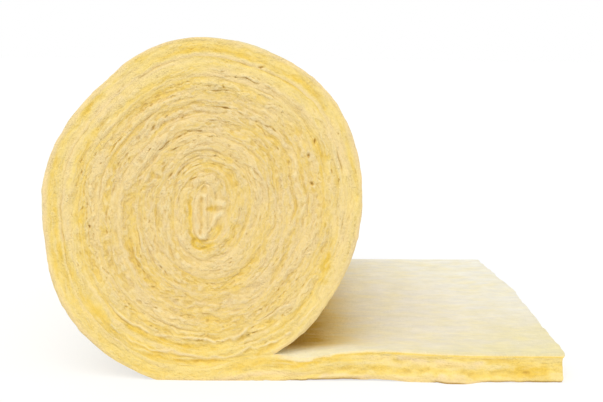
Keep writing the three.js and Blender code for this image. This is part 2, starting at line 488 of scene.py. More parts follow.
def distance_to_line(x, z, points):
    """From each place to the nearest point of a line through the points."""
    nearest = np.full(np.shape(x), np.inf)
    for (ax, az), (bx, bz) in zip(points, points[1:]):
        length = (bx - ax) ** 2 + (bz - az) ** 2
        share = np.clip(((x - ax) * (bx - ax) + (z - az) * (bz - az)) / length, 0, 1)
        nearest = np.minimum(nearest, np.hypot(x - ax - share * (bx - ax), z - az - share * (bz - az)))
    return nearest


ARC_POINTS = 25  # along a winding line
CREASE_POINTS = 24  # along a crease that is placed by chance


def arc_points(points):
    """x and z at the points of a winding line through points given as radius and angle."""
    radius, degrees = np.array(points).T
    share, known = np.linspace(0, 1, ARC_POINTS), np.linspace(0, 1, len(radius))
    angle = np.radians(np.interp(share, known, np.unwrap(degrees, period=360)))
    radius = np.interp(share, known, radius)
    return np.stack([radius * np.cos(angle), radius * np.sin(angle)], -1)


def random_creases(dice, count, radius):
    """Short crinkled creases that roughly follow the turns, as depth, and angle and
    radius along each, in metres and radians. Those of the outer turns are shallow."""
    for _ in range(count):
        middle = radius * np.sqrt(dice.uniform(0.03, 0.97))
        span = dice.uniform(0.008, 0.05) / middle
        angle = dice.uniform(0, 2 * pi) + np.linspace(0, span, CREASE_POINTS)
        places = np.linspace(0, span * middle, CREASE_POINTS)
        slope = dice.normal(0, 0.13)
        wave = dice.uniform(0.3, 1.3) * MM
        pitch = dice.uniform(0.007, 0.022)
        line = middle + slope * places + wave * np.sin(2 * pi * places / pitch + dice.uniform(0, 6))
        depth = dice.uniform(0.6, 2.8) * MM * dice.uniform(0.4, 1)
        yield depth * (1 - 0.6 * smooth_step(middle, 0.24, 0.29)), angle, line


def drawn_creases():
    """The creases of the list above, in the same form as the random ones."""
    for depth, *points in CREASES:
        radius, angle = np.array(points).T
        order = np.argsort(angle)
        yield depth * MM, np.radians(angle[order]), radius[order] * MM


# ---- The cut edges ------------------------------------------------------------------

RIM_DROP = 3 * MM  # how far the cut edge turns in at the outline
EDGE_INSET = 1.5 * MM  # how far in the cut edges lie before any unevenness
SLIT_DROP = 1 * MM  # how far in the two sides of the slit in the folded start meet
SHOULDER = 0.16  # share of a turn over which its cut edge turns in at a seam
FLOOR_TURNS = 0.12  # how much of the last turn lies flat on the floor
THIN_RIB = 15 * MM  # thinner ribs, by the folded start, have no creases and pits
LEAST_GAP = 0.25  # between rows, in rows
ROW_SWAY = 1.1  # how far rows sway, in rows
CREASE_PROFILE = ((-2, -0.3), (-1, 0.5), (0, 1.0), (1, 0.45), (2, -0.35))  # row, share of depth
SLIT = ((0, -30), (0, 30))  # the slit in the folded start, as x and z from the axis, in mm
CALMING = (225, 285)  # reach in mm over which the relief grows calmer towards the rim
LENGTHENING = (6.5, 7.8)  # turns over which its streaks grow longer
HOLLOW_DEPTH = 1.6 * MM  # how far a fully hollow place lies behind what is about it
BLUR_PASSES = 6  # more of them take in more of what is about a place
SKIN, SKIN_AT_NIP = 1 * MM, 10 * MM  # of the pale skin along the tail, and how much more at the nip
YELLOW_LAYER = 2.6 * MM  # half the thickness of the layer under it
STEPPING_BACK = (0.30, 0.42)  # x over which the tail's edge comes to step back under its top
LIP = 2 * MM  # how far the lip close to the floor stands out, and how far back it is below
NEARLY_NONE = 1e-6  # stands in for no length where one is divided by


def liveliness(x, z):
    """The share of its plain height that the relief has, at x and z from the axis in mm."""
    return 1 + sum(
        growth * np.exp(-(np.hypot(x - at_x, z - at_z) ** 2) / reach**2)
        for at_x, at_z, reach, growth in ZONES
    )


def ledges(values, share):
    """Steps one apart, each rising over only a share of its width."""
    below = np.floor(values)
    return below + smooth_step(values - below, 1 - share, 1)


def blurred(values, passes):
    """Each value drawn towards the mean of its four neighbours, over and over."""
    for _ in range(passes):
        padded = np.pad(values, 1, mode="edge")
        values = (padded[:-2, 1:-1] + padded[2:, 1:-1] + padded[1:-1, :-2] + padded[1:-1, 2:]) / 4
    return values


class CutEdge:
    """One cut edge of the blanket, rib by rib and row by row: where each vertex lies in
    the section, how far it stands out, how much painted shade its hollows and painted
    highlight its ridges get, and how golden it is.

    Most of its noises are a height, how long each cell is along the blanket and how wide
    across it, in metres, and a number that sets the noise apart."""

    def __init__(self, section, sizes, look):
        self.section, self.sizes, self.look = section, sizes, look
        self.winding = section.winding
        self.axis = np.array([0, section.winding.axis])
        self.rib = np.arange(section.ribs)[:, None]
        self.lay_seams()
        self.lay_ribs()
        self.lay_rows()
        for crease in look.creases:
            self.crease(*crease)
        for pit in look.pits:
            self.pit(*pit)
        self.spread_rows()
        self.raise_layers()
        self.draw_strokes()
        self.fold_skin()
        self.turn_in()
        self.tint()
        self.open_under_tail()
        self.number_vertices()

    def noise(self, x, y, number):
        return noise(x, y, self.look.seed + number)

    def lay_seams(self):
        """Seams wander, by less on the outline and on the floor."""
        turn, turns, winding = self.section.turn, self.winding.turns, self.winding
        along = self.seam_along = winding.along(turn)
        seam = winding.place(turn)
        outward = seam - self.axis
        outward /= np.maximum(np.hypot(*outward.T), NEARLY_NONE)[:, None]
        at = [0.4, 1, turns - 1.05, turns - 0.95, turns - FLOOR_TURNS, turns]
        loose = np.interp(turn, at, [0, 1, 1, 0.6, 0.6, 0])
        wander = 2.6 * MM * layered_noise(along / 0.11, 0.5, self.look.seed + 2)
        wander += 1.4 * MM * self.noise(along / 0.02, 0.5, 12) + 1.3 * MM * self.noise(along / 0.009, 2.5, 12)
        self.seam = seam + outward * (loose * wander)[:, None]

        # Some stretches of a seam are open grooves, and the rest hardly shows.
        open_share = smooth_step(layered_noise(along / 0.06, 0.5, self.look.seed + 3), 0.0, 1.0)
        groove = 0.4 * MM + self.sizes.seam * open_share + 0.8 * MM * abs(self.noise(along / 0.02, 0.5, 4))
        neighbour = np.where(turn < turns - 1, winding.along(turn + 1), along)
        under = (turn > turns - 1) & (turn <= winding.nip)
        neighbour = np.where(under, winding.along(turns) + self.seam[:, 0], neighbour)
        own, other = self.slide(along), self.slide(neighbour)
        between = (own + other) / 2 - groove
        drop = RIM_DROP * (1 - 0.7 * smooth_step(turn, turns - FLOOR_TURNS, turns))
        rim = own - drop + 0.6 * MM * self.noise(along / 0.02, 2.5, 0)
        self.seam_out = np.where(turn > winding.nip, rim, between)

    def slide(self, along):
        """How far the edge stands out along the blanket, as it was not wound quite true."""
        return 1.6 * MM * self.noise(along / 0.9, 0.5, 0) + 0.9 * MM * self.noise(along / 0.22, 0.5, 1)

    def lay_ribs(self):
        """Ribs: where they start and end in the section, and how far those ends stand out."""
        section, winding, steps = self.section, self.winding, self.section.steps
        seam, seam_out = self.seam, self.seam_out
        before = section.turn - 1
        slit = winding.place(before)
        tail_x = np.concatenate([seam[section.under, 0], section.columns])
        tail_top = np.concatenate([seam[section.under, 1], np.full(TAIL_COLUMNS, winding.free)])
        self.along = np.concatenate([self.seam_along, winding.along(winding.turns) + tail_x])
        tail_out = self.slide(self.along[steps:])

        self.inner, self.outer = np.empty((section.ribs, 2)), np.empty((section.ribs, 2))
        self.inner_out, self.outer_out = np.empty(section.ribs), np.empty(section.ribs)
        for k in (0, 1):
            on_seam = np.interp(before, section.turn, seam[:, k])
            self.inner[:steps, k] = np.where(before > 0, on_seam, slit[:, k])
        self.inner[steps:] = np.stack([tail_x, tail_top], -1)
        self.outer[:steps] = seam
        self.outer[steps:] = np.stack([tail_x, np.zeros_like(tail_x)], -1)
        self.inner_out[:steps] = np.where(before > 0, np.interp(before, section.turn, seam_out), -SLIT_DROP)
        free_out = tail_out[-TAIL_COLUMNS:] - RIM_DROP
        self.inner_out[steps:] = np.concatenate([seam_out[section.under], free_out])
        self.outer_out[:steps] = seam_out
        self.outer_out[steps:] = tail_out - 0.3 * RIM_DROP
        self.thickness = np.hypot(*(self.outer - self.inner).T)

    def lay_rows(self):
        """Rows sway a little, as the layers do. Creases and pits are placed by angle and
        reach about the axis, and kept off the tail and off thin ribs."""
        section = self.section
        rows = np.arange(ROWS + 1)
        window = np.sin(rows / ROWS * pi) ** 0.5
        sway = ROW_SWAY * layered_noise(self.along[:, None] / 0.03, rows * 0.1, self.look.seed + 5, 2)
        self.rows = rows + sway * window
        self.pushed = np.zeros((section.ribs, ROWS + 1))
        self.taken = np.zeros((section.ribs, ROWS + 1), bool)
        middle = (self.inner + self.outer) / 2 - self.axis
        self.angle = np.arctan2(middle[:, 1], middle[:, 0]) % (2 * pi)
        self.inner_reach = np.hypot(*(self.inner - self.axis).T)
        self.outer_reach = np.hypot(*(self.outer - self.axis).T)
        self.creasable = (self.rib[:, 0] < section.steps) & (self.thickness > THIN_RIB)

    def row_at(self, reach, ribs=slice(None)):
        """The row that lies so far from the axis, on each of the ribs."""
        inner, outer = self.inner_reach[ribs], self.outer_reach[ribs]
        return (reach - inner) / np.maximum(outer - inner, NEARLY_NONE) * ROWS

    def crease(self, depth, angle, reach):
        """Draws the nearest row into line and pushes it in, and closes up its neighbours."""
        offset = (self.angle - angle[0]) % (2 * pi)
        span = angle[-1] - angle[0]
        ribs = np.flatnonzero(self.creasable & (offset <= span))
        offset = offset[ribs]
        line = np.interp(offset, angle - angle[0], reach)
        line = line + 1.3 * MM * self.noise(offset * line / 0.011, 3.5, 6)
        row = self.row_at(line, ribs)
        inside = (row > 3) & (row < ROWS - 3)
        ribs, row, offset, line = ribs[inside], row[inside], offset[inside], line[inside]
        near = np.round(row).astype(int)
        clear = ~(self.taken[ribs, near] | self.taken[ribs, near - 2] | self.taken[ribs, near + 2])
        ribs, near, row, offset, line = ribs[clear], near[clear], row[clear], offset[clear], line[clear]
        push = depth * np.clip(3 * np.sin(pi * np.clip(offset / span, 0, 1)), 0, 1)
        push *= np.clip(0.8 + 0.9 * self.noise(offset * line / 0.0055, 8.5, 0), 0.15, 1.5)
        for k, share in CREASE_PROFILE:
            self.rows[ribs, near + k] = row + 0.9 * k
            self.pushed[ribs, near + k] -= share * push
            self.taken[ribs, near + k] = True

    def pit(self, depth, reach, angle):
        """Pushes in the few vertices about a place, in a round or slanting hollow."""
        gap = abs((self.angle - angle + pi) % (2 * pi) - pi) * reach
        row = self.row_at(reach)
        inside = self.creasable & (row > 2) & (row < ROWS - 2)
        rib = int(np.argmin(np.where(inside, gap, np.inf)))
        near = int(round(row[rib]))
        size = max(depth / (5 * MM), 0.8)
        lean = 0.35 * np.sin(40 * angle)
        for j in range(-4, 5):
            for k in range(-2, 3):
                share = np.exp(-(0.9 * (k - lean * j) ** 2 + 0.5 * j * j) / size**2)
                self.pushed[rib + k, np.clip(near + j, 1, ROWS - 1)] -= 0.7 * depth * share

    def spread_rows(self):
        """Where each vertex lies in the section, across its rib, and from the axis."""
        gaps = np.maximum(np.diff(self.rows, axis=1), LEAST_GAP)
        place = np.concatenate([np.zeros((len(gaps), 1)), np.cumsum(gaps, axis=1)], axis=1)
        self.place = place / place[:, -1:]
        self.xz = self.inner[:, None] + (self.outer - self.inner)[:, None] * self.place[..., None]
        self.across = self.place * self.thickness[:, None]
        self.x, self.z = (self.xz - self.axis).transpose(2, 0, 1) / MM
        self.reach = np.hypot(self.x, self.z)

    def raise_layers(self):
        """Layers of wool stand out or lie back, in short wandering streaks. The streaks are
        longer on the outer turns and on the tail, and calmer towards the rim."""
        section, seed, reach = self.section, self.look.seed, self.reach
        on_tail = np.full(section.ribs - section.steps, self.winding.turns)
        self.turn = np.concatenate([section.turn, on_tail])
        rate = 1 - 0.4 * smooth_step(self.turn, *LENGTHENING)
        u = np.cumsum(np.diff(self.along, prepend=0) * rate)[:, None]
        calm = smooth_step(reach, *CALMING)
        bend = 5 * MM * self.noise(u / 0.045, self.across / 0.03, 7)
        bend += 1.7 * MM * self.noise(u / 0.016, self.across / 0.012, 8)
        v = self.across + bend * (1 - 0.5 * calm)
        near_core = np.interp(self.along[:, None], self.winding.along(np.array([3.0, 5.0])), [1.1, 0.6])
        relief = 1.6 * MM * self.noise(u / 0.09, v / 0.021, 9)
        relief += 1.2 * MM * near_core * self.noise(u / 0.16, v / 0.0098, 14)
        relief += 0.9 * MM * self.noise(u / 0.036, v / 0.010, 10)
        relief += 0.5 * MM * self.noise(u / 0.012, v / 0.0052, 11)
        torn = 2.4 * layered_noise(u / 0.11, v / 0.022, seed + 15)
        torn += 0.5 * self.noise(u / 0.010, v / 0.007, 22)
        relief += 1.5 * MM * ledges(torn, 0.28)
        golden = 0.55 * (1 + 0.4 * calm) * layered_noise(u / 0.13, v / 0.011, seed + 13, 2)
        golden -= 0.12 * np.clip(torn, -2, 2)
        self.lively = liveliness(self.x, self.z)
        relief *= (1 - 0.45 * calm) * self.lively

        # It is smoother about the folded start, where the two sides of the slit meet.
        off_slit = smooth_step(distance_to_line(self.x, self.z, SLIT), -8, 12)
        self.relief = relief * (off_slit * (0.5 + 0.5 * smooth_step(reach, 25, 70)))
        self.golden = golden * (off_slit * (0.7 + 0.3 * smooth_step(reach, 60, 200)))

    def draw_strokes(self):
        """Draws the listed ridges and troughs, with lines that wobble."""
        wobble = 1.3 + 1.4 * smooth_step(self.reach, 40, 90)
        x = self.x + wobble * self.noise(self.x / 13, self.z / 13, 16)
        z = self.z + wobble * self.noise(self.x / 13, self.z / 13, 17)
        axis_height = self.axis[1] / MM
        on_tail = [
            (*measures, [(a, b - axis_height) for a, b in points])
            for *measures, points in TAIL_STROKES
        ]
        for half_width, height, tint, points in (*self.look.strokes, *on_tail):
            share = hill(distance_to_line(x, z, points), half_width)
            share *= 0.8 + 0.4 * self.noise(x / 17, z / 17, 18)
            self.relief += height * MM * share
            self.golden += tint * share

    def fold_skin(self):
        """Along the tail a pale skin folds over the edge, and a yellow layer lies under it.
        Towards the cut end the edge steps back below its top few millimetres."""
        free = self.rib >= self.section.free
        tail_x = self.inner[:, :1]
        from_nip = np.clip(tail_x - self.winding.nip_x, 0, 1)
        skin = SKIN + SKIN_AT_NIP * fading(from_nip, 0.07)
        skin = skin * (1 + 0.7 * self.noise(tail_x / 0.012, 0.5, 23))
        self.skin_share = free * smooth_step(from_nip, 0, 0.03) * hill(self.across, skin)
        self.golden -= 1.3 * self.skin_share
        self.golden += free * 1.3 * hill(self.across - skin - YELLOW_LAYER, YELLOW_LAYER)
        step = free * smooth_step(tail_x, *STEPPING_BACK)
        self.relief += 1.2 * MM * step * (1 - 2 * smooth_step(self.across, 5 * MM, 8 * MM))

    def turn_in(self):
        """Towards the seams the edge turns in. The creases and pits are pushed in too."""
        fullness = np.sin(np.clip(self.place, 0.02, 0.98) * pi) ** 0.3
        base = self.slide(self.along[:, None]) + self.relief * fullness
        by_inner, by_outer = (
            np.clip(1 - share / SHOULDER, 0, 1) ** 2 for share in (self.place, 1 - self.place)
        )
        by_inner[:np.searchsorted(self.section.turn, 1)] = 0  # the first turn's inner side is the slit
        out = base + by_inner * (self.inner_out[:, None] - base) + by_outer * (self.outer_out[:, None] - base)
        out += self.pushed * self.lively

        # Where the start of the blanket thins out to nothing, the edge turns in only a little.
        thin = np.clip(self.thickness / 0.02, 0, 1)[:, None]
        at_start = (self.inner_out + self.outer_out)[:, None] / 4
        self.out = at_start + (out - at_start) * thin
        on_rim, on_top = self.rib >= self.section.nip, self.rib >= self.section.free
        self.on_outline = on_rim * by_outer + on_top * by_inner

    def tint(self):
        """How much painted shade and highlight, how golden and how bright a yellow the wool is.
        Hollows get painted shade and ridges painted highlight, but not on the outline. The
        outline, and most of all the rim along the top, gets a painted highlight that pales it."""
        section, across, u = self.section, self.across, self.along[:, None]
        # Painted shade in hollows and painted highlight on ridges, by how far a place lies behind or before
        # what is about it.
        hollow_shade = (blurred(self.out, BLUR_PASSES) - self.out) / HOLLOW_DEPTH
        self.hollow_shade = np.clip(hollow_shade, -1, 1.3) * (1 - np.clip(self.on_outline * 3, 0, 1))
        # The pale skin along the tail takes the same pale colour as the painted ridge highlight.
        self.hollow_shade -= 1.4 * self.skin_share
        # Painted highlight on the rim of the outer turns, strongest along the top and weakest along the
        # bottom.
        rim = (self.rib >= section.nip) * smooth_step(self.thickness[:, None] - across, 14 * MM, 2 * MM)
        rim *= 0.4 + 0.6 * smooth_step(np.sin(self.angle), -0.5, 0.3)[:, None]
        rim *= 1 + 0.5 * self.noise(u / 0.03, 0.5, 24)
        last_seam = (self.turn > self.winding.turns - 1)[:, None] * hill(across, 7 * MM)
        last_seam *= 1 + self.noise(u / 0.12, 0.5, 25)
        # The outline and the rim are paled by painted highlight.
        self.golden -= 0.8 * self.on_outline
        self.golden -= 1.2 * rim
        self.golden -= 0.4 * last_seam * (self.rib < section.free)
        # Painted light on the lower part of the roll, as from the floor below, and brighter yellow wool on
        # the outer turns.
        low = smooth_step(self.xz[..., 1], 0.14, 0.04)
        self.bright_yellow = np.maximum(low, 0.7 * smooth_step(self.reach, 190, 280)) * (1 - 0.4 * rim)

    def open_under_tail(self):
        """Close to the floor the tail's edge lies back in places, below a ragged lip, and there
        gets a painted contact shadow."""
        tail_x = self.inner[:, :1]
        gap = smooth_step(self.noise(tail_x / 0.045, 0.5, 19), -0.4, 0.1) * smooth_step(tail_x, 0.12, 0.2)
        gap = gap * (self.rib >= self.section.steps)
        below = self.place - 0.95
        # Painted contact shadow where the edge lies back under the lip.
        self.hollow_shade += 3 * gap * np.clip(below / 0.03, 0, 1)
        self.out += LIP * gap * hill(self.place - 0.88, 0.05)
        self.out -= LIP * gap * np.clip(below / 0.04, 0, 1)

    def number_vertices(self):
        """Lists what was worked out, by vertex number."""
        section = self.section
        numbers, steps, count = section.numbers, section.steps, section.count
        for name in ("xz", "out", "hollow_shade", "golden", "bright_yellow"):
            values = getattr(self, name)
            listed = np.zeros((count, *values.shape[2:]))
            listed[numbers[:, 1:-1]] = values[:, 1:-1]
            for end in (-1, 0):
                listed[numbers[:, end]] = values[:, end]
            listed[numbers[:steps, -1]] = values[:steps, -1]
            setattr(self, name, listed)

    def triangles(self, flip):
        """Splits every quad along the diagonal whose ends stand out most alike, so that
        creases stay sharp. Returns vertex numbers, and the rib and row of every corner."""
        rib, row = (grid.ravel() for grid in np.mgrid[1:self.section.ribs, 1:ROWS + 1])
        ribs = np.stack([rib - 1, rib - 1, rib, rib], -1)
        rows = np.stack([row - 1, row, row, row - 1], -1)
        numbers = self.section.numbers[ribs, rows]
        out = self.out[numbers]
        first = abs(out[:, 0] - out[:, 2]) <= abs(out[:, 1] - out[:, 3])
        picks = np.where(first[:, None], [[0, 1, 2, 0, 2, 3]], [[0, 1, 3, 1, 2, 3]]).reshape(-1, 2, 3)
        if flip:
            picks = picks[..., ::-1]
        quads = np.arange(len(rib))[:, None, None]
        a, b, c = (numbers[quads, picks].reshape(-1, 3)).T
        real = (a != b) & (b != c) & (c != a)
        return tuple(kind[quads, picks].reshape(-1, 3)[real] for kind in (numbers, ribs, rows))


def outer_strokes():
    """The ridges and troughs of the outer turns, with points as x and z."""
    return [(*measures, arc_points(points)) for *measures, points in OUTER_STROKES]


def front_look(radius):
    """The front end: every crease, pit, ridge and trough of the lists above, and more
    creases by chance."""
    dice = np.random.default_rng(5)
    return SimpleNamespace(
        seed=11,
        creases=[*drawn_creases(), *random_creases(dice, 420, radius)],
        pits=[(depth * MM, reach * MM, radians(angle)) for depth, reach, angle in PITS],
        strokes=[*CORE_STROKES, *outer_strokes()],
    )


# The back end's ridges and troughs are the front's, with x and z times these shares, and so
# many millimetres higher.
BACK_WIDTH, BACK_HEIGHT, BACK_RISE = -0.92, 0.95, 3
BACK_PITS = 34


def back_look(radius):
    """The back end: the front's ridges and troughs the other way round and a little
    smaller, and all creases and pits by chance."""

    def turned(points):
        return [(BACK_WIDTH * x, BACK_HEIGHT * z + BACK_RISE) for x, z in points]

    dice = np.random.default_rng(7)
    places = [(radius * dice.uniform(0.2, 0.93), dice.uniform(0, 2 * pi)) for _ in range(BACK_PITS)]
    pits = [(dice.uniform(3, 7) * MM, *place) for place in places]
    return SimpleNamespace(
        seed=41,
        creases=list(random_creases(dice, 440, radius)),
        pits=pits,
        strokes=[(*measures, turned(points)) for *measures, points in (*CORE_STROKES, *outer_strokes())],
    )


# ---- The faces between the cut edges ------------------------------------------------

SIDE_ROWS = 92  # between the cut edges
ROWS_AT_EDGE = (0.003, 0.007, 0.012, 0.019, 0.028, 0.040)  # how far in from each of them
EDGE_REACH = 0.05  # how far in the faces follow the unevenness of the cut edges
ROLL_SWELL, TAIL_SWELL = 2.4 * MM, 1 * MM  # unevenness of the roll's outside and of the tail


def side_stations(sizes):
    """Places across the blanket's width, closer together by the cut edges."""
    half = sizes.width / 2
    edge = half - np.array(ROWS_AT_EDGE)
    inside = np.linspace(-edge[-1], edge[-1], SIDE_ROWS - 2 * len(edge) + 1)[1:-1]
    return np.concatenate([-edge, inside, edge[::-1]])


def side_places(section, sizes, front, back):
    """Where the vertices between the two cut edges lie, station by station: x and z, then
    y. Last comes how far along the outline each column lies, and the whole length."""
    outline = section.outline
    plain = plain_outline(section, sizes)
    ahead, behind = np.roll(plain, -1, 0), np.roll(plain, 1, 0)
    tangent = ahead - behind
    normal = np.stack([tangent[:, 1], -tangent[:, 0]], -1)
    normal /= np.hypot(*normal.T)[:, None]
    steps = np.hypot(*(ahead - plain).T)
    around = np.concatenate([[0], np.cumsum(steps)])
    along = around[:-1]
    from_nip = np.minimum(along, around[-1] - along)
    y = side_stations(sizes)[:, None]
    half = sizes.width / 2
    near_front, near_back = fading(y + half, EDGE_REACH), fading(half - y, EDGE_REACH)
    y = y - near_front * (front.out[outline] - EDGE_INSET) + near_back * (back.out[outline] - EDGE_INSET)
    near_front, near_back = near_front[..., None], near_back[..., None]
    places = plain + near_front * (front.xz[outline] - plain) + near_back * (back.xz[outline] - plain)
    high = np.where(plain[:, 1] > 1.3 * section.winding.free, ROLL_SWELL, TAIL_SWELL)
    swell = high * layered_noise(along / 0.16, y / 0.24, 71)
    swell = swell + 0.5 * MM * layered_noise(along / 0.05, y / 0.02, 75, 2)
    places = places + normal * (swell * smooth_step(from_nip, 0, 0.05))[..., None]
    return places, y, around


# ---- How the tail lies on the floor: x from straight under the axis, y from the middle ---

# The cut end is not straight: how far it bows out, and where it bulges further.
END_BOW = 12 * MM
END_BULGE, BULGE_AT, BULGE_HALF_WIDTH = 8 * MM, 0.12, 0.14
# The front edge has a hump where the blanket comes off the roll: how high its top rises,
# where, and how long the rise and the fall are.
HUMP, HUMP_AT, HUMP_RISE, HUMP_FALL = 8.3 * MM, 0.307, 0.085, 0.125
HUMP_GAP = 2.6 * MM  # how far the front edge is off the floor under the hump
NIP_DROOP = 9 * MM  # how far the top's front edge hangs down by the nip
# How far the lowest wool of the front edge spreads forwards on the floor, and where a flap
# of it reaches twice as far.
FLAP, FLAP_AT, FLAP_HALF_LENGTH = 15 * MM, 0.468, 0.034


def shape_cut_end(places, x, y, z, free, level, sizes):
    """Bows and frays the cut end."""
    half, high = sizes.width / 2, sizes.thickness
    at_end = smooth_step(x, sizes.tail - 0.035, sizes.tail)
    bow = END_BOW * (1 - (y / half) ** 2) + END_BULGE * hill(y - BULGE_AT, BULGE_HALF_WIDTH)
    ragged = 2.2 * MM * layered_noise(y / 0.09, 0.5, 81) + 1.6 * MM * noise(y / 0.03, z / 0.008, 85)
    skin = 4 * MM * hill(z - high, 0.004) * (1 - smooth_step(y + half, 0, 0.3))
    places[:, 0] += sizes.skew * free * np.clip(y / sizes.width + 0.5, 0, 1)
    places[:, 0] += free**3 * bow + at_end * (ragged + skin + (level - 0.7) * 5 * MM)


def front_edge_rise(x, y, from_front, free, level, nip_x):
    """How far the front edge lies above its plain place: up on the hump, and down by the
    nip and where its top corner is rounded. Its foot is ragged."""
    beyond = x - HUMP_AT
    top = HUMP * hill(beyond, np.where(beyond < 0, HUMP_RISE, HUMP_FALL))
    bottom = HUMP_GAP * smooth_step(x, 0.165, 0.24) * (1 - smooth_step(x, 0.335, 0.385))
    lift = (bottom + (top - bottom) * level) * (1 - smooth_step(from_front, 0, 0.16))
    lift += 1.2 * MM * np.clip(noise(x / 0.05, y / 0.2, 87), 0, 1) * (x > 0.16) * (1 - level)
    at_nip = smooth_step(x, nip_x, nip_x + 0.06) * (1 - smooth_step(x, nip_x + 0.04, 0.27))
    droop = NIP_DROOP * at_nip * level * (1 - smooth_step(from_front, 0, 0.035)) ** 1.5
    rounded = 2.5 * MM * free**0.3 * level**4 * (1 - smooth_step(from_front, 0, 0.02))
    foot = 2.2 * MM * np.clip(noise(x / 0.014, 0.5, 91) + 0.3 * noise(x / 0.006, 0.5, 92), 0, 1)
    foot *= (1 - level) ** 4 * (1 - smooth_step(from_front, 0, 0.03)) * (x > 0.05)
    return lift - droop - rounded + foot


def foot_spread(x, z, from_front):
    """How far the lowest wool of the front edge spreads forwards on the floor."""
    spread = hill(x - FLAP_AT, FLAP_HALF_LENGTH, 4) * hill(z, 0.009)
    spread += (0.25 + 0.75 * smooth_step(x, 0.30, 0.42)) * hill(z, 0.020) * smooth_step(x, -0.12, 0)
    return FLAP * spread * (from_front < 0.02)


def settle(places, is_tail, sizes, nip_x):
    """Changes the places, whose x is from straight under the axis, to how the blanket
    lies, with none of it below the floor."""
    x, y, z = places.T.copy()
    from_front = y + sizes.width / 2
    level = np.clip(z / sizes.thickness, 0, 1.2)
    free = np.clip((x - nip_x) / (sizes.tail - nip_x), 0, 1) * is_tail
    shape_cut_end(places, x, y, z, free, level, sizes)
    places[:, 1] -= foot_spread(x, z, from_front)
    places[:, 2] += is_tail * front_edge_rise(x, y, from_front, free, level, nip_x)
    places[:, 2] = np.maximum(places[:, 2], 0)


# ---- Meshes -------------------------------------------------------------------------

FACE_NUMBERS = SimpleNamespace(front=0.0, back=5.0, side=9.0, end=11.7)  # set their patterns apart
CUT_WOOL, OUTER_FELT, INNER_FELT = range(3)  # material slots of the felted faces
BAKE_MAP = "OFBake"  # the map that a piece's colours and relief can be laid out on


def new_mesh(name, places, triangles, coordinates, map_places, **point_values):
    """A smooth mesh of the places that the triangles use. The coordinates, three numbers
    for each corner, are the blanket's own: metres along it, metres across it, and the
    face's number."""
    used, renumbered = np.unique(triangles, return_inverse=True)
    mesh = bpy.data.meshes.new(name)
    mesh.vertices.add(len(used))
    mesh.vertices.foreach_set("co", places[used].ravel())
    mesh.loops.add(triangles.size)
    mesh.loops.foreach_set("vertex_index", renumbered.ravel().astype(np.int32))
    mesh.polygons.add(len(triangles))
    mesh.polygons.foreach_set("loop_start", np.arange(0, triangles.size, 3, dtype=np.int32))
    mesh.polygons.foreach_set("use_smooth", np.ones(len(triangles), bool))
    mesh.update(calc_edges=True)
    attribute = mesh.attributes.new("blanket", "FLOAT_VECTOR", "CORNER")
    attribute.data.foreach_set("vector", coordinates.ravel())
    for label, values in point_values.items():
        attribute = mesh.attributes.new(label, "FLOAT", "POINT")
        attribute.data.foreach_set("value", values[used])
    layer = mesh.uv_layers.new(name=BAKE_MAP)
    layer.uv.foreach_set("vector", map_places.ravel())
    mesh.validate()
    return mesh


def fitted(values, low=0.004, high=0.996):
    """The values spread evenly from low to high."""
    least = values.min()
    return low + (values - least) / (values.max() - least) * (high - low)


def cut_edge_mesh(name, edge, places, first, flip, face_number):
    """The mesh of one cut edge, whose vertices come after so many others."""
    numbers, ribs, rows = edge.triangles(flip)
    along, across = edge.along[ribs], edge.across[ribs, rows]
    coordinates = np.stack([along, across, np.full(along.shape, face_number)], -1)
    numbers = numbers + first
    corners = places[numbers.ravel()]
    map_places = np.stack([fitted(corners[:, 0]), fitted(corners[:, 2])], -1)
    values = {label: np.zeros(len(places)) for label in ("hollow_shade", "golden", "bright_yellow")}
    for label, listed in values.items():
        listed[first:first + len(edge.out)] = getattr(edge, label)
    return new_mesh(name, places, numbers, coordinates, map_places, **values)


def felted_mesh(name, section, sizes, places, stations, around, values):
    """The mesh of the faces between the two cut edges: the outer face, the cut end and
    the inner face."""
    columns, count = len(section.outline), section.count
    loops = np.concatenate(
        [
            section.outline[None],
            (2 * count + np.arange(len(stations) * columns)).reshape(-1, columns),
            section.outline[None] + count,
        ]
    )
    here, there = loops[:-1], loops[1:]
    next_here, next_there = np.roll(here, -1, 1), np.roll(there, -1, 1)
    triangles = np.stack([here, there, next_there, here, next_there, next_here], -1).reshape(-1, 3)
    half = sizes.width / 2
    station = np.concatenate([[-half], stations, [half]])
    y_here, y_there = (np.broadcast_to(s[:, None], here.shape) for s in (station[:-1], station[1:]))
    a, b = (np.broadcast_to(s, here.shape) for s in (around[:-1], around[1:]))
    along = np.stack([a, a, b, a, b, b], -1).reshape(-1, 3)
    across = np.stack([y_here, y_there, y_there, y_here, y_there, y_here], -1).reshape(-1, 3)
    coordinates = np.stack([along, across, np.full(along.shape, FACE_NUMBERS.side)], -1)

    # The map holds the outline in two halves, one over the other.
    upper = (along.mean(-1) > around[-1] / 2)[:, None]
    map_along = fitted(np.where(upper, along - around[-1] / 2, along))
    map_across = np.where(upper, 0.5, 0) + fitted(across) / 2
    map_places = np.stack([map_along, map_across], -1)

    # The wool of the cut end runs from its front corner to its back corner.
    end_starts = section.ribs - section.nip - 1
    top_starts = end_starts + ROWS
    column = np.tile(np.repeat(np.arange(columns), 2), len(loops) - 1)
    is_end = (column >= end_starts) & (column < top_starts)
    coordinates[is_end] = coordinates[is_end][..., [1, 0, 2]]
    coordinates[is_end, :, 2] = FACE_NUMBERS.end
    mesh = new_mesh(name, places, triangles, coordinates, map_places, **values)
    slots = np.select([is_end, column >= top_starts], [CUT_WOOL, INNER_FELT], OUTER_FELT)
    mesh.polygons.foreach_set("material_index", slots.astype(np.int32))
    return mesh


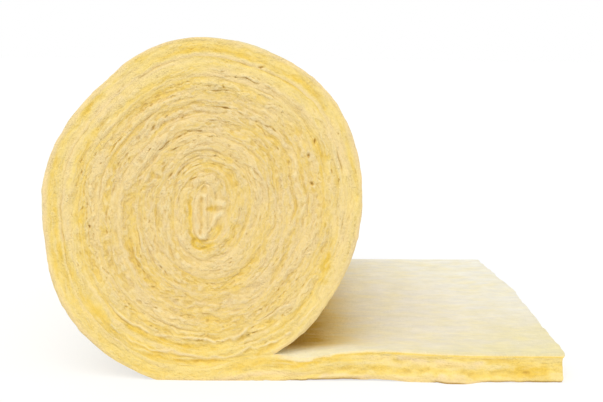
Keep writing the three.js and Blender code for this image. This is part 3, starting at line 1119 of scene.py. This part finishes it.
def felt_tints(places, is_tail, sizes, winding):
    """How much painted shade the felt gets in the nip, how golden its front edge is, how warm
    it is and how much painted light it gets, with x from straight under the axis.
    """
    x, y, z = places.T
    from_front = y + (sizes.width / 2 - EDGE_INSET)
    from_nip = np.hypot(x - winding.nip_x, z - winding.free)

    # Painted shade, warm as with light bounced off the yellow wool, in the nip where the roll shades the
    # tail, starting a little behind the front edge.
    golden = 1.25 * hill(from_nip, 0.128, 2.6) + 0.07 * fading(from_nip, 0.3)
    golden *= smooth_step(from_front, 0.02, 0.11)
    # A thin golden line of the wool's own colour runs along the tail's front edge.
    golden += 0.35 * fading(from_front, 0.008) * is_tail * smooth_step(x, 0.25, 0.4)

    # The tail is warmer along the front, and gets painted light towards the back and the cut end, where less
    # of it is shaded.
    near_end = smooth_step(x, sizes.tail - 0.25, sizes.tail)
    warmth = 0.6 * fading(from_front, 0.12) + 0.5 * near_end * (1 - smooth_step(from_front, 0.2, 0.5))
    light = 0.7 * smooth_step(from_front, 0.5, 1.15) + 0.8 * near_end * smooth_step(from_front, 0.2, 0.5)
    return {
        "golden": golden,
        "warmth": warmth * is_tail,
        "light": light * is_tail,
        "bright_yellow": np.ones(len(places)),  # for the bare wool of the cut end
    }


def blanket_meshes(sizes):
    """The meshes of the front cut edge, the back cut edge and the faces between them."""
    section = build_section(sizes)
    winding = section.winding
    front = CutEdge(section, sizes, front_look(winding.radius))
    back = CutEdge(section, sizes, back_look(winding.radius))
    half = sizes.width / 2 - EDGE_INSET
    side, across, around = side_places(section, sizes, front, back)
    places = np.concatenate(
        [
            np.stack([front.xz[:, 0], -half - front.out, front.xz[:, 1]], -1),
            np.stack([back.xz[:, 0], half + back.out, back.xz[:, 1]], -1),
            np.stack([side[..., 0], across, side[..., 1]], -1).reshape(-1, 3),
        ]
    )
    is_tail = np.zeros(len(places), bool)
    of_tail = section.numbers[section.steps:].ravel()
    is_tail[of_tail] = is_tail[of_tail + section.count] = True
    is_tail[2 * section.count:] = np.tile(np.isin(section.outline, of_tail), len(side))
    settle(places, is_tail, sizes, winding.nip_x)
    tints = felt_tints(places, is_tail, sizes, winding)
    places[:, 0] += CAD_BOX[1][0] - sizes.tail - sizes.skew
    return (
        cut_edge_mesh("front_cut_edge", front, places, 0, False, FACE_NUMBERS.front),
        cut_edge_mesh("back_cut_edge", back, places, section.count, True, FACE_NUMBERS.back),
        felted_mesh("felted_faces", section, sizes, places, side_stations(sizes), around, tints),
    )


def add_piece(name, mesh, *materials):
    piece = bpy.data.objects.new(name, mesh)
    for material in materials:
        mesh.materials.append(material)
    bpy.context.scene.collection.objects.link(piece)
    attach(piece, BODY)
    return piece


# ---- Materials ----------------------------------------------------------------------


class Nodes:
    """Adds nodes to a tree and wires them up."""

    def __init__(self, tree):
        self.tree = tree
        tree.nodes.clear()

    def add(self, kind, inputs=None, output=0, **settings):
        node = self.tree.nodes.new(kind)
        node.location = (220 * (len(self.tree.nodes) % 12), -260 * (len(self.tree.nodes) // 12))
        for name, value in settings.items():
            setattr(node, name, value)
        for name, value in (inputs or {}).items():
            if isinstance(value, NodeSocket):
                self.tree.links.new(value, node.inputs[name])
            else:
                node.inputs[name].default_value = value
        return node if output is None else node.outputs[output]

    def group(self, tree, **inputs):
        return self.add("ShaderNodeGroup", inputs, output=None, node_tree=tree).outputs

    def attribute(self, name, output="Fac"):
        return self.add("ShaderNodeAttribute", output=output, attribute_name=name)

    def maths(self, operation, a, b=0.0, clamp=False):
        return self.add("ShaderNodeMath", {0: a, 1: b}, operation=operation, use_clamp=clamp)

    def mixed(self, factor, a, b, blend="MIX"):
        return self.add(
            "ShaderNodeMix", {0: factor, 6: a, 7: b}, output=2, data_type="RGBA", blend_type=blend
        )

    def scaled(self, vector, scale):
        return self.add("ShaderNodeVectorMath", {0: vector, "Scale": scale}, operation="SCALE")

    def ranged(self, value, low, high, to_low=0.0, to_high=1.0):
        inputs = {"Value": value, "From Min": low, "From Max": high, "To Min": to_low, "To Max": to_high}
        return self.add("ShaderNodeMapRange", inputs)

    def noise(self, vector, detail=2.0, roughness=0.5):
        inputs = {"Vector": vector, "Scale": 1.0, "Detail": detail, "Roughness": roughness}
        return self.add("ShaderNodeTexNoise", inputs)


def new_group(name, inputs, outputs):
    """A shader node group with its sockets, and its nodes to fill in."""
    tree = bpy.data.node_groups.new(name, "ShaderNodeTree")
    kinds = {float: "NodeSocketFloat", tuple: "NodeSocketVector"}
    for label, default in inputs.items():
        socket = tree.interface.new_socket(label, in_out="INPUT", socket_type=kinds[type(default)])
        socket.default_value = default
    for label in outputs:
        tree.interface.new_socket(label, in_out="OUTPUT", socket_type="NodeSocketFloat")
    nodes = Nodes(tree)
    return tree, nodes, nodes.add("NodeGroupInput", output=None).outputs


# What bends the streaks: how long and wide beside them, how far, and what sets it apart.
SWIRLS = ((3.2, 5.5, 2.4, 3.0), (1.2, 2.4, 1.0, 7.0))


def wool_group():
    """Short wandering streaks of wool that run along the blanket, and ledges where its
    layers end, from the blanket's own coordinates."""
    name = "Wool streaks"
    if name in bpy.data.node_groups:
        return bpy.data.node_groups[name]
    inputs = {"Coordinates": (0.0, 0.0, 0.0), "Length": 0.014, "Width": 0.0045, "Swirl": 0.006}
    tree, n, given = new_group(name, inputs, ("Layers", "Fibres", "Clouds", "Ledges"))
    parts = n.add("ShaderNodeSeparateXYZ", {"Vector": given["Coordinates"]}, output=None).outputs

    def stretched(across, along_share, across_share, offset):
        """Coordinates in cells of a length and a width, as shares of the streaks' own."""
        along = n.maths("DIVIDE", parts["X"], n.maths("MULTIPLY", given["Length"], along_share))
        across = n.maths("DIVIDE", across, n.maths("MULTIPLY", given["Width"], across_share))
        return n.add(
            "ShaderNodeCombineXYZ", {"X": along, "Y": across, "Z": n.maths("ADD", parts["Z"], offset)}
        )

    across = parts["Y"]
    for along_share, across_share, share, offset in SWIRLS:
        swirl = n.noise(stretched(parts["Y"], along_share, across_share, offset), 1.0)
        swirl = n.maths("MULTIPLY", n.maths("SUBTRACT", swirl, 0.5), share)
        across = n.maths("ADD", across, n.maths("MULTIPLY", swirl, given["Swirl"]))
    levels = n.maths("MULTIPLY", n.noise(stretched(across, 1.6, 1.3, 53.0), 2.0, 0.5), 6.0)
    rise = n.ranged(n.maths("FRACT", levels), 0.7, 1.0)
    results = {
        "Layers": n.noise(stretched(across, 1.0, 1.0, 17.0), 2.0, 0.5),
        "Fibres": n.noise(stretched(across, 0.3, 0.28, 29.0), 2.0, 0.6),
        "Clouds": n.noise(stretched(across, 4.0, 3.5, 41.0), 2.0),
        "Ledges": n.maths("ADD", n.maths("FLOOR", levels), rise),
    }
    n.add("NodeGroupOutput", results, output=None)
    return tree


def fluff_group():
    """Fine uneven fluff, the same in every direction, from the object's own coordinates."""
    name = "Wool fluff"
    if name in bpy.data.node_groups:
        return bpy.data.node_groups[name]
    tree, n, given = new_group(name, {"Size": 0.003}, ("Fluff", "Tufts"))
    place = n.add("ShaderNodeTexCoord", output="Object")
    results = {}
    for label, share in (("Fluff", 1.0), ("Tufts", 5.0)):
        size = n.maths("DIVIDE", 1.0, n.maths("MULTIPLY", given["Size"], share))
        results[label] = n.noise(n.scaled(place, size), 3.0, 0.6)
    n.add("NodeGroupOutput", results, output=None)
    return tree


def wool_shader(n, base, height, distance):
    """Matt wool of a base colour, with relief of a height times a distance."""
    bump = n.add("ShaderNodeBump", {"Height": height, "Strength": 1.0, "Distance": distance})
    shader = n.add(
        "ShaderNodeBsdfPrincipled",
        {
            "Base Color": base,
            "Roughness": 1.0,
            "Specular IOR Level": 0.1,
            "Sheen Weight": 0.12,
            "Sheen Roughness": 0.6,
            "Normal": bump,
        },
    )
    n.add("ShaderNodeOutputMaterial", {"Surface": shader}, output=None)


def rgba(value):
    return (*value, 1.0)


def new_material(name):
    material = bpy.data.materials.new(name)
    material.use_nodes = True
    return material, Nodes(material.node_tree)


def cut_edge_material(colours):
    """Bare cut wool: layers on edge, with golden painted shade in the hollows and painted
    highlight on the ridges.
    """
    material, n = new_material("cut_wool")
    hollow_shade, golden, bright_yellow = (n.attribute(name) for name in ("hollow_shade", "golden", "bright_yellow"))
    inputs = {"Length": 0.014, "Width": 0.0045, "Swirl": 0.008}
    wool = n.group(wool_group(), Coordinates=n.attribute("blanket", "Vector"), **inputs)
    fluff = n.group(fluff_group(), Size=0.004)
    layers, fibres, clouds, ledges = (wool[name] for name in ("Layers", "Fibres", "Clouds", "Ledges"))

    pale_share = n.ranged(n.maths("ADD", clouds, n.maths("MULTIPLY", layers, 0.8)), 0.8, 1.1)
    base = n.mixed(pale_share, rgba(colours.straw), rgba(colours.pale))
    # Brighter yellow on the outer turns and the tail's cut end, and painted light low on the roll.
    base = n.mixed(n.maths("MULTIPLY", bright_yellow, 0.8), base, rgba(colours.bright_yellow))
    patches = n.maths("ADD", fluff["Tufts"], n.maths("MULTIPLY", layers, 0.7))
    gold = n.maths("ADD", golden, n.ranged(patches, 0.65, 1.1, 0.4, -0.3))
    base = n.mixed(n.maths("MULTIPLY", gold, 0.7, clamp=True), base, rgba(colours.golden))
    base = n.mixed(n.maths("MULTIPLY", golden, -0.7, clamp=True), base, rgba(colours.pale))
    # Painted shade in the hollows, and painted highlight on the ridges.
    base = n.mixed(n.maths("MULTIPLY", hollow_shade, 0.6, clamp=True), base, rgba(colours.hollow_shade))
    base = n.mixed(n.maths("MULTIPLY", hollow_shade, -0.85, clamp=True), base, rgba(colours.ridge_highlight))
    base = n.scaled(base, n.ranged(fibres, 0.3, 0.7, 0.95, 1.055))

    height = n.maths("ADD", n.maths("MULTIPLY", layers, 0.55), n.maths("MULTIPLY", fibres, 0.35))
    crinkled = n.maths("SUBTRACT", n.ranged(clouds, 0.35, 0.65, 0.8, 2.0), n.maths("MULTIPLY", bright_yellow, 0.25))
    crinkle = n.maths("MULTIPLY", fluff["Fluff"], crinkled)
    height = n.maths("ADD", height, crinkle)
    height = n.maths("ADD", height, n.maths("MULTIPLY", ledges, 0.1))
    wool_shader(n, base, height, 0.0024)
    return material


def felt_material(name, colours, main, warm, **streaks):
    """The blanket's felted face: matted fibres, blotches and faint streaks, with painted
    shade in the nip and painted light on the tail towards the back and the cut end.
    """
    material, n = new_material(name)
    wool = n.group(wool_group(), Coordinates=n.attribute("blanket", "Vector"), Swirl=0.01, **streaks)
    fluff, blotches = n.group(fluff_group(), Size=0.004), n.group(fluff_group(), Size=0.013)
    layers, fibres = wool["Layers"], wool["Fibres"]
    streaky = n.ranged(n.maths("ADD", layers, wool["Clouds"]), 0.7, 1.3, 0.7, 1.3)
    golden = n.maths("MULTIPLY", n.attribute("golden"), streaky)
    patches = n.maths("ADD", blotches["Tufts"], n.maths("MULTIPLY", layers, 0.35))
    patches = n.maths("ADD", n.ranged(patches, 0.55, 1.05, 0.0, 0.8), n.attribute("warmth"))
    # Painted light on the tail towards the back and the cut end.
    base = n.mixed(n.attribute("light"), rgba(main), rgba(colours.felt_painted_light))
    base = n.mixed(n.maths("MULTIPLY", patches, 0.9, clamp=True), base, rgba(warm))
    # Painted shade in the nip, in streaks: lighter where it starts, deepest in the nip.
    base = n.mixed(n.maths("MULTIPLY", golden, 2.0, clamp=True), base, rgba(colours.nip_shade_outer))
    base = n.mixed(n.ranged(golden, 0.5, 1.0), base, rgba(colours.nip))
    base = n.scaled(base, n.ranged(n.maths("ADD", fibres, fluff["Tufts"]), 0.7, 1.3, 0.955, 1.03))
    base = n.scaled(base, n.ranged(layers, 0.3, 0.7, 0.945, 1.035))
    height = n.maths("ADD", n.maths("MULTIPLY", layers, 0.7), n.maths("MULTIPLY", fibres, 0.4))
    height = n.maths("ADD", height, n.maths("MULTIPLY", fluff["Fluff"], 0.9))
    height = n.maths("ADD", height, blotches["Fluff"])
    wool_shader(n, base, height, 0.0025)
    return material


# ---- Operators ----------------------------------------------------------------------


class OBJECT_OT_add_wool_blanket(Operator):
    """Add the wound blanket with its tail, in place of the plain solid"""

    bl_idname = "object.add_wool_blanket"
    bl_label = "Add Wool Blanket"
    bl_options = {"REGISTER", "UNDO"}

    def execute(self, context):
        sizes, colours = context.scene.blanket_sizes, context.scene.wool_colours
        front, back, faces = blanket_meshes(sizes)
        cut = cut_edge_material(colours)
        on_roll, on_tail = {"Length": 0.045, "Width": 0.03}, {"Length": 0.05, "Width": 0.035}
        outer = felt_material("outer_felt", colours, colours.outer_felt, colours.golden, **on_roll)
        inner = felt_material("inner_felt", colours, colours.felt, colours.felt_warm, **on_tail)
        pieces = [
            add_piece("front_cut_edge", front, cut),
            add_piece("back_cut_edge", back, cut),
            add_piece("felted_faces", faces, cut, outer, inner),
        ]
        for piece in pieces:
            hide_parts(NODE)
        return {"FINISHED"}


class OBJECT_OT_set_wool_studio(Operator):
    """Set the floor, the lights and the camera"""

    bl_idname = "object.set_wool_studio"
    bl_label = "Set Studio"
    bl_options = {"REGISTER", "UNDO"}

    def execute(self, context):
        settings = context.scene.wool_studio
        add_floor(settings)
        add_lights(settings)
        add_camera(context.scene)
        context.scene.view_settings.view_transform = "Standard"
        return {"FINISHED"}


def seen_directly(n):
    """1 for what the camera sees straight, mirrored or through glass."""
    path = n.add("ShaderNodeLightPath", output=None).outputs
    seen = n.maths("MAXIMUM", path["Is Camera Ray"], path["Is Glossy Ray"])
    return n.maths("MAXIMUM", seen, path["Is Transmission Ray"])


WHITE = (1, 1, 1, 1)
FLOOR_REACH = 60  # so far that its rim lies on the horizon
FLOOR_SHADE, FLOOR_GLOW = 0.36, 0.68  # seen directly, it is white but keeps the roll's shadow


def add_floor(settings):
    reach = FLOOR_REACH
    corners = [(-reach, -reach, 0), (reach, -reach, 0), (reach, reach, 0), (-reach, reach, 0)]
    mesh = bpy.data.meshes.new("floor")
    mesh.from_pydata(corners, [], [(0, 1, 2, 3)])
    floor = bpy.data.objects.new("floor", mesh)
    bpy.context.scene.collection.objects.link(floor)
    material, n = new_material("floor")
    plain = n.add("ShaderNodeBsdfDiffuse", {"Color": rgba(settings.floor)})
    shadowed = n.add("ShaderNodeBsdfDiffuse", {"Color": rgba([FLOOR_SHADE] * 3)})
    glow = n.add("ShaderNodeEmission", {"Color": WHITE, "Strength": FLOOR_GLOW})
    white = n.add("ShaderNodeAddShader", {0: shadowed, 1: glow})
    surface = n.add("ShaderNodeMixShader", {0: seen_directly(n), 1: plain, 2: white})
    n.add("ShaderNodeOutputMaterial", {"Surface": surface}, output=None)
    mesh.materials.append(material)
    floor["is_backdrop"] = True


def add_lights(settings):
    world = bpy.data.worlds.new("studio")
    world.use_nodes = True
    n = Nodes(world.node_tree)
    ambient = n.add("ShaderNodeBackground", {"Color": WHITE, "Strength": settings.ambient})
    backdrop = n.add("ShaderNodeBackground", {"Color": WHITE, "Strength": 1.0})
    surface = n.add("ShaderNodeMixShader", {0: seen_directly(n), 1: ambient, 2: backdrop})
    n.add("ShaderNodeOutputWorld", {"Surface": surface}, output=None)
    bpy.context.scene.world = world

    lamp = bpy.data.lights.new("key", "SUN")
    lamp.energy = settings.key
    lamp.angle = settings.key_softness
    key = bpy.data.objects.new("key", lamp)
    turn = Matrix.Rotation(-settings.key_side, 4, "Z") @ Matrix.Rotation(pi / 2 - settings.key_height, 4, "X")
    key.matrix_world = turn
    bpy.context.scene.collection.objects.link(key)


CAMERA_PLACE = (-0.089, -3.181, 0.6243)
CAMERA_PITCH, CAMERA_YAW, CAMERA_ROLL = -0.1096, -0.0276, 0.0088  # radians, from level and along Y
CAMERA_LENS, SENSOR_WIDTH = 83.6, 36  # in millimetres


def add_camera(scene):
    camera_data = bpy.data.cameras.new("camera")
    camera_data.lens = CAMERA_LENS
    camera_data.sensor_width = SENSOR_WIDTH
    camera_data.sensor_fit = "HORIZONTAL"
    camera = bpy.data.objects.new("camera", camera_data)
    aim = (
        Matrix.Rotation(CAMERA_YAW, 3, "Z")
        @ Matrix.Rotation(pi / 2 + CAMERA_PITCH, 3, "X")
        @ Matrix.Rotation(CAMERA_ROLL, 3, "Z")
    )
    camera.matrix_world = Matrix.Translation(CAMERA_PLACE) @ aim.to_4x4()
    scene.collection.objects.link(camera)
    scene.camera = camera


class VIEW3D_PT_insulation_roll(Panel):
    """Lists the pieces of the roll, the studio and their settings"""

    bl_label = "Insulation Roll"
    bl_space_type = "VIEW_3D"
    bl_region_type = "UI"
    bl_category = "Insulation Roll"

    def draw(self, context):
        layout = self.layout
        for operator in OPERATORS:
            layout.operator(operator.bl_idname)
        for name in PROPERTY_GROUPS:
            box = layout.box()
            group = getattr(context.scene, name)
            for setting in group.bl_rna.properties.keys():
                if setting not in ("rna_type", "name"):
                    box.prop(group, setting)


OPERATORS = (OBJECT_OT_add_wool_blanket, OBJECT_OT_set_wool_studio)
PROPERTY_GROUPS = {
    "blanket_sizes": BlanketSizes,
    "wool_colours": WoolColours,
    "wool_studio": StudioSettings,
}
CLASSES = (*PROPERTY_GROUPS.values(), *OPERATORS, VIEW3D_PT_insulation_roll)


def register():
    for cls in CLASSES:
        bpy.utils.register_class(cls)
    for name, group in PROPERTY_GROUPS.items():
        setattr(bpy.types.Scene, name, PointerProperty(type=group))


def unregister():
    for name in PROPERTY_GROUPS:
        delattr(bpy.types.Scene, name)
    for cls in reversed(CLASSES):
        bpy.utils.unregister_class(cls)


def main():
    register()
    bpy.ops.object.add_wool_blanket()
    bpy.ops.object.set_wool_studio()
    boxes = {"cad": CAD_BOX, "visual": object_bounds()}
    {name: [list(map(float, corner)) for corner in box] for name, box in boxes.items()}


if __name__ == "__main__":
    main()
